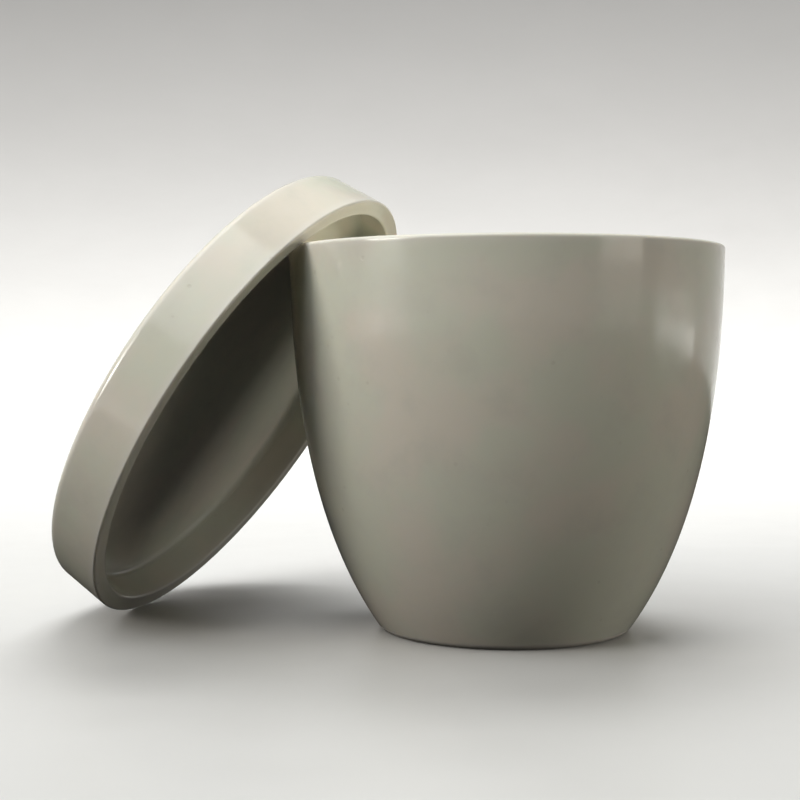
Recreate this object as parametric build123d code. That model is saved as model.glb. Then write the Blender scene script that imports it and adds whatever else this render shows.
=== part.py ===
"""Porcelain laboratory crucible, nominal 50 mL, with its flanged lid leaning against it.

Millimetres, +Z up. The origin is on the crucible's axis, in the plane that its foot rests on.
The lid stands on its edge on the -X side and leans its hollow side on the crucible's rim.
"""
from build123d import *
from math import atan2, cos, radians, sin, sqrt, tan
import os

# Crucible, outside
RIM_RADIUS = 25.0
CRUCIBLE_HEIGHT = 44.0
FOOT_RADIUS = 14.35
FOOT_CORNER = 1.5
BOWL_HANDLE = (25.07, 14.72)
WALL_HANDLE = (24.73, 37.5)

# Crucible, inside
RIM_WALL = 2.1
LIP_CORNER = 0.4
CAVITY_WALL_HANDLE = (22.58, 38.14)
CAVITY_BOWL_HANDLE = (22.67, 17.09)
CAVITY_FLOOR_RADIUS = 13.3
CAVITY_FLOOR_CORNER = 6.0
FLOOR_THICKNESS = 3.0

# Unglazed hollow under the foot
FOOT_RING_WIDTH = 3.0
FOOT_HOLLOW = 0.6
FOOT_HOLLOW_CORNER = 0.4

# Lid, in its own upright frame: the flange's free edge lies in the plane z = 0
FLANGE_OUTER_RADIUS = 29.5
FLANGE_INNER_RADIUS = 27.5
LID_TOP_RADIUS = 29.05
LID_TOP_EDGE_HEIGHT = 7.05
RECESS_RADIUS = 27.2
RECESS_EDGE_DEPTH = 4.5
LID_DOME = 1.3
FLANGE_OUTER_CORNER = 0.25
FLANGE_INNER_CORNER = 0.3
RECESS_CORNER = 0.9
LID_TOP_CORNER = 1.0

# How the lid stands
LID_LEAN = 57.9
LID_GAP = 0.2


def crucible_section():
    """Half section of the wall and floor in the XZ plane, from the axis outwards."""
    hollow_radius = FOOT_RADIUS - FOOT_RING_WIDTH
    inner_rim = RIM_RADIUS - RIM_WALL
    with BuildSketch(Plane.XZ) as section:
        with BuildLine():
            Polyline((0, FOOT_HOLLOW), (hollow_radius, FOOT_HOLLOW), (hollow_radius, 0))
            Line((hollow_radius, 0), (FOOT_RADIUS, 0))
            Bezier((FOOT_RADIUS, 0), BOWL_HANDLE, WALL_HANDLE, (RIM_RADIUS, CRUCIBLE_HEIGHT))
            Line((RIM_RADIUS, CRUCIBLE_HEIGHT), (inner_rim, CRUCIBLE_HEIGHT))
            Bezier(
                (inner_rim, CRUCIBLE_HEIGHT),
                CAVITY_WALL_HANDLE,
                CAVITY_BOWL_HANDLE,
                (CAVITY_FLOOR_RADIUS, FLOOR_THICKNESS),
            )
            Polyline((CAVITY_FLOOR_RADIUS, FLOOR_THICKNESS), (0, FLOOR_THICKNESS), (0, FOOT_HOLLOW))
        make_face()
        round_corner(section, (RIM_RADIUS, CRUCIBLE_HEIGHT), LIP_CORNER)
        round_corner(section, (inner_rim, CRUCIBLE_HEIGHT), LIP_CORNER)
        round_corner(section, (CAVITY_FLOOR_RADIUS, FLOOR_THICKNESS), CAVITY_FLOOR_CORNER)
        round_corner(section, (FOOT_RADIUS, 0), FOOT_CORNER)
        round_corner(section, (hollow_radius, 0), FOOT_HOLLOW_CORNER)
    return section.sketch


def lid_section():
    """Half section of the upright lid: a shallow dome with a flange turned down round it."""
    with BuildSketch(Plane.XZ) as section:
        with BuildLine():
            Polyline(
                (RECESS_RADIUS, RECESS_EDGE_DEPTH),
                (FLANGE_INNER_RADIUS, 0),
                (FLANGE_OUTER_RADIUS, 0),
                (LID_TOP_RADIUS, LID_TOP_EDGE_HEIGHT),
            )
            dome_arc(LID_TOP_RADIUS, LID_TOP_EDGE_HEIGHT)
            Line((0, LID_TOP_EDGE_HEIGHT + LID_DOME), (0, RECESS_EDGE_DEPTH + LID_DOME))
            dome_arc(RECESS_RADIUS, RECESS_EDGE_DEPTH)
        make_face()
        round_corner(section, (RECESS_RADIUS, RECESS_EDGE_DEPTH), RECESS_CORNER)
        round_corner(section, (FLANGE_INNER_RADIUS, 0), FLANGE_INNER_CORNER)
        round_corner(section, (FLANGE_OUTER_RADIUS, 0), FLANGE_OUTER_CORNER)
        round_corner(section, (LID_TOP_RADIUS, LID_TOP_EDGE_HEIGHT), LID_TOP_CORNER)
    return section.sketch


def dome_arc(edge_radius, edge_height):
    """Circular arc from the axis, one dome higher, out to the edge, level on the axis."""
    crown = (0, edge_height + LID_DOME)
    TangentArc(crown, (edge_radius, edge_height), tangent=(1, 0))


def round_corner(section, corner, radius):
    """Rounds the section's corner nearest to the (radius, height) point given."""
    nearest = section.vertices().sort_by_distance(corner)[0]
    fillet(nearest, radius)


def lid_place():
    """The leaning lid's placement: its edge on the bench, its hollow on the crucible's lip."""
    lean = radians(LID_LEAN)
    corner_angle = atan2(LID_TOP_EDGE_HEIGHT, FLANGE_OUTER_RADIUS - LID_TOP_RADIUS)
    edge_radius = FLANGE_OUTER_RADIUS - FLANGE_OUTER_CORNER / tan(corner_angle / 2)
    centre_z = edge_radius * sin(lean) + FLANGE_OUTER_CORNER * (1 - cos(lean))
    ceiling = RECESS_EDGE_DEPTH + LID_DOME
    dome_radius = (RECESS_RADIUS**2 + LID_DOME**2) / (2 * LID_DOME)
    dome_drop = dome_radius - ceiling
    lip_x = LIP_CORNER - RIM_RADIUS
    lip_z = CRUCIBLE_HEIGHT - LIP_CORNER
    reach = dome_radius - LIP_CORNER - LID_GAP
    rise = lip_z - (centre_z - dome_drop * cos(lean))
    centre_x = lip_x + sqrt(reach**2 - rise**2) - dome_drop * sin(lean)
    return Location((centre_x, 0, centre_z), (0, -LID_LEAN, 0))


crucible = revolve(crucible_section(), Axis.Z)
lid = lid_place() * revolve(lid_section(), Axis.Z)

os.makedirs("parts", exist_ok=True)
export_step(crucible, "parts/crucible.step")
export_step(lid, "parts/lid.step")
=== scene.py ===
"""Looks of a glazed porcelain crucible and its loose flanged lid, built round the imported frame."""
import bpy
import numpy as np
from math import cos, pi, radians, sin
from mathutils import Matrix, Vector


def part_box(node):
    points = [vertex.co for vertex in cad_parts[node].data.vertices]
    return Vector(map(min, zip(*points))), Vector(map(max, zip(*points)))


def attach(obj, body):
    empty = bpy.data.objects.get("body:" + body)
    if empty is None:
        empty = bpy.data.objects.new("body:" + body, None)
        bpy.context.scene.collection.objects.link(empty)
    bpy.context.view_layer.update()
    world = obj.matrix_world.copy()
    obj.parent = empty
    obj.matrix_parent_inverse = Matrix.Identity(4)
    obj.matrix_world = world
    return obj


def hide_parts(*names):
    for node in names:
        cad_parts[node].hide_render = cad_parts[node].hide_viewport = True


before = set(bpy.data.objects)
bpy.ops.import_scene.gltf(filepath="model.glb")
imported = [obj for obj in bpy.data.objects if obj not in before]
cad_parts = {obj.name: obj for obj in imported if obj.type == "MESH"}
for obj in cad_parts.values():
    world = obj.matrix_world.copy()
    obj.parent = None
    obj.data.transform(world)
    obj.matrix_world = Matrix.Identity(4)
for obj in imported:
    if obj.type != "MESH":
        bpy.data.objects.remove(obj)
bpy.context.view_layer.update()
MM = 0.001

# Camera: where it stands round the crucible's axis, and how it is turned from facing that axis
CAMERA_AZIMUTH = radians(12.72)
CAMERA_DISTANCE = 173.7 * MM
CAMERA_HEIGHT = 32.7 * MM
CAMERA_PAN = radians(4.02)
CAMERA_TILT = radians(2.07)
CAMERA_LENS = 67.1

# Crucible section, as shares of the rim's radius and of the height
RIM_RADIUS = (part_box("crucible")[1].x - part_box("crucible")[0].x) / 2
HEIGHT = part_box("crucible")[1].z
FOOT_SHARE = 0.574
BOWL_HANDLE = (1.0028, 0.3345)
WALL_HANDLE = (0.9892, 0.8523)
INNER_RIM_SHARE = 0.916
CAVITY_WALL_HANDLE = (0.9032, 0.8668)
CAVITY_BOWL_HANDLE = (0.9068, 0.3884)
CAVITY_FLOOR = (0.532, 0.0682)
LIP_CORNER = 0.4 * MM
FOOT_CORNER = 1.5 * MM
CAVITY_FLOOR_CORNER = 6.0 * MM
FOOT_RING_WIDTH = 3.0 * MM
FOOT_HOLLOW = 0.6 * MM
FOOT_HOLLOW_CORNER = 0.3 * MM

# Lid section, upright, its flange's free edge in the plane z = 0
LID_RADIUS = (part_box("lid")[1].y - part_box("lid")[0].y) / 2
LID_LEAN = radians(57.9)
FLANGE_WIDTH = 2.0 * MM
FLANGE_TAPER = 0.45 * MM
LID_EDGE_HEIGHT = 7.05 * MM
LID_DOME = 1.3 * MM
RECESS_DEPTH = 4.5 * MM
RECESS_TAPER = 0.3 * MM
FLANGE_OUTER_CORNER = 0.25 * MM
FLANGE_INNER_CORNER = 0.3 * MM
RECESS_CORNER = 0.9 * MM
LID_TOP_CORNER = 1.0 * MM

# Meshing: steps round the axis and along a section, and how far a fired ring is out of true
SEGMENTS = 360
CURVE_SAMPLES = 1500
SECTION_STEP = 0.45 * MM
SECTION_TURN = radians(6)
WAVE = 0.03 * MM
WAVE_FADE_RADIUS = 10 * MM

# Glaze: how far a bend thins or pools it, where it stops at the foot, and where the flange's edge is worn
BEND_REACH = 0.6 * MM
BARE_HEIGHT = 0.9 * MM
WEAR_HEIGHT = 0.12 * MM
WEAR = 0.3
RELIEF = 0.03 * MM
SUBSURFACE_REACH = 0.5 * MM

# Glaze colours
GLAZE_WARM = (0.795, 0.742, 0.64)
GLAZE_COOL = (0.745, 0.75, 0.63)
GLAZE_GREY = (0.69, 0.67, 0.58)
GLAZE_POOLED = (0.66, 0.665, 0.57)
GLAZE_THIN = (0.82, 0.79, 0.72)
PINHOLE = (0.42, 0.37, 0.29)
BISCUIT = (0.72, 0.68, 0.61)

# Studio, in metres
LIGHT_DISTANCE = 0.6
WALL_HEIGHT = 0.2
FLOOR_DISC_RADIUS = 0.35
FLOOR_OUTER_RADIUS = 1.65
SWEEP_RISE = 0.48
FLOOR_LIGHT = (0.64, 0.635, 0.62)
FLOOR_DARK = (0.6, 0.595, 0.58)


def bezier(p0, p1, p2, p3):
    """Points along a cubic Bezier curve, one row each."""
    t = np.linspace(0, 1, CURVE_SAMPLES)[:, None]
    ends = (1 - t) ** 3 * np.array(p0) + t**3 * np.array(p3)
    return ends + 3 * (1 - t) ** 2 * t * np.array(p1) + 3 * (1 - t) * t**2 * np.array(p2)


def line(p0, p1):
    """Points along a straight line."""
    t = np.linspace(0, 1, CURVE_SAMPLES)[:, None]
    return (1 - t) * np.array(p0) + t * np.array(p1)


def dome(edge_radius, edge_height):
    """Points along a shallow circular arc from the axis out to the edge."""
    r = np.linspace(0, edge_radius, CURVE_SAMPLES)
    curve = (edge_radius**2 + LID_DOME**2) / (2 * LID_DOME)
    z = edge_height + LID_DOME - curve + np.sqrt(curve**2 - r**2)
    return np.stack([r, z], 1)


def rounded(before, after, radius):
    """Two curves that share an end, joined by an arc of the radius: returns the trimmed pieces as one."""
    heading = np.gradient(before, axis=0)
    heading /= np.linalg.norm(heading, axis=1)[:, None]
    leaving = after[1] - after[0]
    side = np.sign(heading[-1, 0] * leaving[1] - heading[-1, 1] * leaving[0])
    normals = side * np.stack([-heading[:, 1], heading[:, 0]], 1)
    centres = before + radius * normals
    for i in range(len(before) - 1, -1, -1):
        gaps = np.linalg.norm(after - centres[i], axis=1)
        if gaps.min() >= radius:
            break
    centre = centres[i]
    j = int(gaps.argmin())
    start = np.arctan2(*(before[i] - centre)[::-1])
    end = np.arctan2(*(after[j] - centre)[::-1])
    sweep = (end - start + pi) % (2 * pi) - pi
    angles = start + sweep * np.linspace(0, 1, CURVE_SAMPLES)
    arc = centre + radius * np.stack([np.cos(angles), np.sin(angles)], 1)
    return np.concatenate([before[:i], arc, after[j + 1 :]])


def resampled(points):
    """The section with points closer together where it turns."""
    step = np.diff(points, axis=0)
    length = np.linalg.norm(step, axis=1)
    keep = length > 1e-9
    step, length = step[keep], length[keep]
    points = np.concatenate([points[:1], points[1:][keep]])
    heading = np.unwrap(np.arctan2(step[:, 1], step[:, 0]))
    turn = np.abs(np.diff(heading, prepend=heading[0]))
    cost = np.concatenate([[0], np.cumsum(length / SECTION_STEP + turn / SECTION_TURN)])
    even = np.linspace(0, cost[-1], int(cost[-1]) + 1)
    return np.stack([np.interp(even, cost, points[:, k]) for k in (0, 1)], 1)


def crucible_section():
    """Closed half section: the hollow under the foot, up the outside, over the lip and down the cavity."""

    def at(share):
        return share[0] * RIM_RADIUS, share[1] * HEIGHT

    foot = (FOOT_SHARE * RIM_RADIUS, 0)
    hollow = foot[0] - FOOT_RING_WIDTH
    outer_rim = (RIM_RADIUS, HEIGHT)
    inner_rim = (INNER_RIM_SHARE * RIM_RADIUS, HEIGHT)
    section = line((0, FOOT_HOLLOW), (hollow, FOOT_HOLLOW))
    section = rounded(section, line((hollow, FOOT_HOLLOW), (hollow, 0)), FOOT_HOLLOW_CORNER)
    section = rounded(section, line((hollow, 0), foot), FOOT_HOLLOW_CORNER)
    section = rounded(section, bezier(foot, at(BOWL_HANDLE), at(WALL_HANDLE), outer_rim), FOOT_CORNER)
    section = rounded(section, line(outer_rim, inner_rim), LIP_CORNER)
    cavity = bezier(inner_rim, at(CAVITY_WALL_HANDLE), at(CAVITY_BOWL_HANDLE), at(CAVITY_FLOOR))
    section = rounded(section, cavity, LIP_CORNER)
    section = rounded(section, line(at(CAVITY_FLOOR), (0, at(CAVITY_FLOOR)[1])), CAVITY_FLOOR_CORNER)
    return resampled(section)


def lid_section():
    """Closed half section from the middle of the hollow, down the flange and back over the top."""
    flange_inner = LID_RADIUS - FLANGE_WIDTH
    recess = flange_inner - RECESS_TAPER
    top = LID_RADIUS - FLANGE_TAPER
    section = dome(recess, RECESS_DEPTH)
    section = rounded(section, line((recess, RECESS_DEPTH), (flange_inner, 0)), RECESS_CORNER)
    section = rounded(section, line((flange_inner, 0), (LID_RADIUS, 0)), FLANGE_INNER_CORNER)
    section = rounded(section, line((LID_RADIUS, 0), (top, LID_EDGE_HEIGHT)), FLANGE_OUTER_CORNER)
    section = rounded(section, dome(top, LID_EDGE_HEIGHT)[::-1], LID_TOP_CORNER)
    return resampled(section)


def bends(section, reach):
    """How strongly each section point lies on a convex and on a concave bend, each from 0 to 1."""
    step = np.diff(section, axis=0)
    length = np.linalg.norm(step, axis=1)
    place = np.concatenate([[0], np.cumsum(length)])
    heading = np.unwrap(np.arctan2(step[:, 1], step[:, 0]))
    turn = np.concatenate([[0], np.diff(heading), [0]])
    spread = np.exp(-(((place[:, None] - place[None]) / reach) ** 2))
    turned = spread @ turn
    return np.clip(turned, 0, 1), np.clip(-turned, 0, 1)


def wavy(ring, angles):
    """Slight inward unevenness of each turned ring, as a fired piece has, one value per vertex."""
    height = ring[:, 1][:, None] / HEIGHT
    lobes = np.sin(2 * angles + 1.9 * height) + 0.6 * np.sin(3 * angles - 2.6 * height + 1)
    lobes = lobes + 0.3 * np.sin(7 * angles + 5 * height + 2)
    return (WAVE * (lobes / 1.9 + 1) / 2).ravel()


def lathe(name, section, bare):
    """A closed turned mesh with its glaze attributes.

    The half section starts and ends on the axis, with the solid on its left, and bare tells unglazed points.
    """
    ring = section[1:-1]
    angles = np.arange(SEGMENTS) * 2 * pi / SEGMENTS
    radius = np.repeat(ring[:, 0], SEGMENTS)
    radius = radius - wavy(ring, angles) * np.clip(radius / WAVE_FADE_RADIUS, 0, 1)
    turn = np.tile(angles, len(ring))
    z = np.repeat(ring[:, 1], SEGMENTS)
    verts = np.stack([radius * np.cos(turn), radius * np.sin(turn), z], 1)
    verts = np.concatenate([verts, [[0, 0, section[0, 1]], [0, 0, section[-1, 1]]]])
    first, last = len(verts) - 2, len(verts) - 1
    faces = []
    for i in range(len(ring) - 1):
        for j in range(SEGMENTS):
            k = (j + 1) % SEGMENTS
            a, b = i * SEGMENTS + j, i * SEGMENTS + k
            faces.append((a, b, b + SEGMENTS, a + SEGMENTS))
    end = (len(ring) - 1) * SEGMENTS
    for j in range(SEGMENTS):
        k = (j + 1) % SEGMENTS
        faces.append((first, k, j))
        faces.append((last, end + j, end + k))
    mesh = bpy.data.meshes.new(name)
    mesh.from_pydata(verts.tolist(), [], faces)
    mesh.update()
    mesh.shade_smooth()
    convex, concave = bends(section, BEND_REACH)
    for label, values in (("edge", convex), ("pool", concave), ("bare", bare(section))):
        layer = mesh.attributes.new(label, "FLOAT", "POINT")
        spread = np.concatenate([np.repeat(values[1:-1], SEGMENTS), values[:1], values[-1:]])
        layer.data.foreach_set("value", spread.astype(np.float32))
    obj = bpy.data.objects.new(name, mesh)
    bpy.context.scene.collection.objects.link(obj)
    return obj


def bare_foot(section):
    """1 under the foot, falling to 0 just above its outer corner."""
    return np.clip(1.2 - section[:, 1] / BARE_HEIGHT, 0, 1)


def bare_edge(section):
    """A hint of wear on the flange's free edge, and 0 elsewhere."""
    return WEAR * np.clip(1.1 - section[:, 1] / WEAR_HEIGHT, 0, 1)


def lean_lid(obj):
    """Leans the upright lid over and sets it where the frame's lid stands."""
    mesh = obj.data
    mesh.transform(Matrix.Rotation(-LID_LEAN, 4, "Y"))
    co = np.array([v.co for v in mesh.vertices])
    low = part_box("lid")[0]
    mesh.transform(Matrix.Translation((low.x - co[:, 0].min(), 0, low.z - co[:, 2].min())))


def node(tree, kind, sockets=None, **settings):
    """A new shader node with its sockets' values and its settings."""
    made = tree.nodes.new(kind)
    for name, value in settings.items():
        setattr(made, name, value)
    for name, value in (sockets or {}).items():
        made.inputs[name].default_value = value
    return made


def noise(tree, coords, scale, detail=2.0, roughness=0.5):
    """Noise of about the scale per metre, as a plain 0 to 1 output."""
    made = node(tree, "ShaderNodeTexNoise", {"Scale": scale, "Detail": detail, "Roughness": roughness})
    tree.links.new(coords, made.inputs["Vector"])
    return made.outputs["Fac"]


def remap(tree, value, low, high, to_low=0.0, to_high=1.0):
    """A smooth, clamped remap of a value."""
    made = node(tree, "ShaderNodeMapRange", interpolation_type="SMOOTHSTEP")
    for name, number in (("From Min", low), ("From Max", high), ("To Min", to_low), ("To Max", to_high)):
        made.inputs[name].default_value = number
    tree.links.new(value, made.inputs["Value"])
    return made.outputs["Result"]


def combine(tree, operation, *values):
    """A maths node fed by sockets or numbers."""
    made = node(tree, "ShaderNodeMath", operation=operation)
    for slot, value in zip(made.inputs, values):
        if isinstance(value, (int, float)):
            slot.default_value = value
        else:
            tree.links.new(value, slot)
    return made.outputs["Value"]


def tint(tree, factor, under, over):
    """Mixes from one colour towards another by a factor. A colour is a socket or a triple."""
    made = node(tree, "ShaderNodeMix", data_type="RGBA")
    tree.links.new(factor, made.inputs["Factor"])
    for slot, colour in ((made.inputs[6], under), (made.inputs[7], over)):
        if isinstance(colour, tuple):
            slot.default_value = (*colour, 1)
        else:
            tree.links.new(colour, slot)
    return made.outputs[2]


def attribute(tree, name):
    """The value of a point attribute that lathe wrote."""
    return node(tree, "ShaderNodeAttribute", attribute_name=name).outputs["Fac"]


def porcelain(name):
    """Cloudy cream glaze with pinholes, thin on edges, pooled in corners, over biscuit bare where told."""
    material = bpy.data.materials.new(name)
    material.use_nodes = True
    tree = material.node_tree
    shader = tree.nodes["Principled BSDF"]
    coords = node(tree, "ShaderNodeTexCoord").outputs["Object"]

    cloud = noise(tree, coords, 95, 3)
    blotch = noise(tree, coords, 170, 4, 0.6)
    peel = noise(tree, coords, 240, 1)
    grain = noise(tree, coords, 1900, 3, 0.65)
    sparse = remap(tree, noise(tree, coords, 90, 2), 0.52, 0.62)
    dots = node(tree, "ShaderNodeTexVoronoi", {"Scale": 420.0, "Randomness": 1.0})
    tree.links.new(coords, dots.inputs["Vector"])
    pinholes = combine(tree, "MULTIPLY", remap(tree, dots.outputs["Distance"], 0.05, 0.13, 1.0, 0.0), sparse)
    edge = attribute(tree, "edge")
    pool = attribute(tree, "pool")
    ragged = combine(tree, "ADD", attribute(tree, "bare"), combine(tree, "MULTIPLY", blotch, 0.5))
    bare = remap(tree, ragged, 0.68, 0.78)

    colour = tint(tree, remap(tree, cloud, 0.36, 0.62), GLAZE_WARM, GLAZE_COOL)
    colour = tint(tree, remap(tree, blotch, 0.45, 0.75, 0.0, 0.5), colour, GLAZE_GREY)
    colour = tint(tree, combine(tree, "MULTIPLY", pool, 0.55), colour, GLAZE_POOLED)
    colour = tint(tree, combine(tree, "MULTIPLY", edge, 0.6), colour, GLAZE_THIN)
    colour = tint(tree, combine(tree, "MULTIPLY", pinholes, 0.15), colour, PINHOLE)
    colour = tint(tree, bare, colour, BISCUIT)
    tree.links.new(colour, shader.inputs["Base Color"])

    gloss = remap(tree, cloud, 0.3, 0.7, 0.09, 0.15)
    gloss = combine(tree, "ADD", gloss, remap(tree, grain, 0.35, 0.75, 0.0, 0.07))
    gloss = combine(tree, "ADD", gloss, combine(tree, "MULTIPLY", bare, 0.5))
    tree.links.new(gloss, shader.inputs["Roughness"])

    relief = combine(tree, "ADD", peel, combine(tree, "MULTIPLY", grain, 0.05))
    relief = combine(tree, "SUBTRACT", relief, combine(tree, "MULTIPLY", pinholes, 0.5))
    bump = node(tree, "ShaderNodeBump", {"Strength": 1.0, "Distance": RELIEF})
    tree.links.new(relief, bump.inputs["Height"])
    tree.links.new(bump.outputs["Normal"], shader.inputs["Normal"])

    shader.inputs["IOR"].default_value = 1.5
    shader.inputs["Subsurface Weight"].default_value = 0.15
    shader.inputs["Subsurface Radius"].default_value = (1.0, 0.85, 0.6)
    shader.inputs["Subsurface Scale"].default_value = SUBSURFACE_REACH
    return material


def make_camera():
    """The camera, level with the upper wall, looking slightly down and to the crucible's left."""
    data = bpy.data.cameras.new("camera")
    data.lens = CAMERA_LENS
    data.clip_start = 0.01
    camera = bpy.data.objects.new("camera", data)
    bpy.context.scene.collection.objects.link(camera)
    back = Vector((sin(CAMERA_AZIMUTH), -cos(CAMERA_AZIMUTH), 0))
    camera.location = back * CAMERA_DISTANCE + Vector((0, 0, CAMERA_HEIGHT))
    heading = CAMERA_AZIMUTH + CAMERA_PAN
    camera.rotation_euler = (pi / 2 - CAMERA_TILT, 0, heading)
    bpy.context.scene.camera = camera


def softbox(name, azimuth, elevation, size, watts, colour, distance=LIGHT_DISTANCE):
    """A soft light facing the crucible. Azimuth is from the camera's side, + to the right in the picture."""
    data = bpy.data.lights.new(name, "AREA")
    data.shape = "RECTANGLE"
    data.size, data.size_y = size
    data.energy = watts
    data.color = colour
    light = bpy.data.objects.new(name, data)
    bpy.context.scene.collection.objects.link(light)
    a = CAMERA_AZIMUTH + radians(azimuth)
    e = radians(elevation)
    out = Vector((sin(a) * cos(e), -cos(a) * cos(e), sin(e)))
    light.location = out * distance + Vector((0, 0, HEIGHT / 2))
    light.rotation_euler = out.to_track_quat("Z", "Y").to_euler()
    light.visible_camera = False
    return light


def make_lights():
    """A high key, a light behind, low cards, two of them only reflected, and the backdrop's lights."""
    softbox("key", -57, 60, (0.6, 0.6), 2.85, (0.98, 1, 1))
    softbox("left_card", -60, 21, (0.25, 0.2), 1.25, (1, 0.95, 0.88))
    softbox("right_card", 60, 12, (0.25, 0.2), 0.45, (1, 0.94, 0.82))
    edge = softbox("edge_card", 95, 5, (0.26, 0.12), 0.75, (1, 0.97, 0.9))
    edge.visible_glossy = False
    back = softbox("back", 180, 62, (0.4, 0.4), 2.9, (0.98, 1, 1))
    back.visible_glossy = False
    crease = softbox("crease_card", -62, 13, (0.22, 0.16), 1.5, (1, 0.98, 0.92))
    crease.visible_diffuse = False
    window = softbox("window_card", 96, -2, (0.17, 0.016), 0.019, (1, 1, 0.96), distance=0.3)
    window.visible_diffuse = False
    light_backdrop("backdrop_left", -160, 5.2)
    light_backdrop("backdrop_right", 160, 2.8)


def light_backdrop(name, azimuth, watts):
    """A high light behind the object, turned to the backdrop and kept out of the glaze's reflections."""
    light = softbox(name, azimuth, 63, (0.5, 0.3), watts, (1, 0.99, 0.98), distance=0.65)
    wall = Vector((-sin(CAMERA_AZIMUTH), cos(CAMERA_AZIMUTH), WALL_HEIGHT))
    light.rotation_euler = (light.location - wall).to_track_quat("Z", "Y").to_euler()
    light.visible_glossy = False


def turned_sheet(name, radii, heights, paint):
    """A level disc or a sweeping ring round the origin, from each of its circles' radius and height."""
    turns = 128
    verts, faces = [], []
    for r, z in zip(radii, heights):
        for k in range(turns):
            t = 2 * pi * k / turns
            verts.append((r * cos(t), r * sin(t), z))
    for i in range(len(radii) - 1):
        for k in range(turns):
            a, b = i * turns + k, i * turns + (k + 1) % turns
            faces.append((a, a + turns, b + turns, b))
    if radii[0] < 0.01:
        faces.append(tuple(range(turns)))
    mesh = bpy.data.meshes.new(name)
    mesh.from_pydata(verts, [], faces)
    mesh.shade_smooth()
    sheet = bpy.data.objects.new(name, mesh)
    bpy.context.scene.collection.objects.link(sheet)
    mesh.materials.append(paint)
    return sheet


def floor_paint():
    """A pale matt floor with the faintest unevenness."""
    material = bpy.data.materials.new("floor_paint")
    material.use_nodes = True
    tree = material.node_tree
    shader = tree.nodes["Principled BSDF"]
    coords = node(tree, "ShaderNodeTexCoord").outputs["Object"]
    colour = tint(tree, noise(tree, coords, 9, 5), FLOOR_DARK, FLOOR_LIGHT)
    tree.links.new(colour, shader.inputs["Base Color"])
    gloss = remap(tree, noise(tree, coords, 60, 4), 0.3, 0.7, 0.36, 0.46)
    tree.links.new(gloss, shader.inputs["Roughness"])
    return material


def make_floor():
    """A plain pale floor: a level disc that sweeps up into a backdrop all round.

    A pale floor would light the lid's hollow and the bowl from below, which a dark bench doesn't. So it
    takes light and shadow but gives the object none, and only the backdrop shows in the glaze.
    """
    paint = floor_paint()
    disc = turned_sheet("floor_disc", [0.001, 0.1, 0.2, FLOOR_DISC_RADIUS], [0, 0, 0, 0], paint)
    disc.visible_diffuse = False
    disc.visible_glossy = False
    radii = np.linspace(FLOOR_DISC_RADIUS, FLOOR_OUTER_RADIUS, 60)
    sweep = turned_sheet("floor_sweep", radii, SWEEP_RISE * (radii - FLOOR_DISC_RADIUS) ** 2, paint)
    sweep.visible_diffuse = False


def make_world():
    """A dim studio: a little light from above and less from below."""
    world = bpy.data.worlds.new("studio")
    world.use_nodes = True
    tree = world.node_tree
    height = node(tree, "ShaderNodeSeparateXYZ")
    tree.links.new(node(tree, "ShaderNodeTexCoord").outputs["Generated"], height.inputs[0])
    glow = remap(tree, height.outputs["Z"], -0.1, 0.9, 0.022, 0.09)
    tree.links.new(glow, tree.nodes["Background"].inputs["Strength"])
    tree.nodes["Background"].inputs["Color"].default_value = (1, 0.99, 0.97, 1)
    bpy.context.scene.world = world


make_camera()
make_floor()
make_world()
make_lights()
bpy.context.scene.view_settings.view_transform = "Standard"

cup = lathe("crucible_glazed", crucible_section(), bare_foot)
cup.data.materials.append(porcelain("porcelain_cup"))
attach(cup, "crucible")
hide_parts("crucible")

cover = lathe("lid_glazed", lid_section(), bare_edge)
lean_lid(cover)
cover.data.materials.append(porcelain("porcelain_lid"))
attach(cover, "lid")
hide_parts("lid")
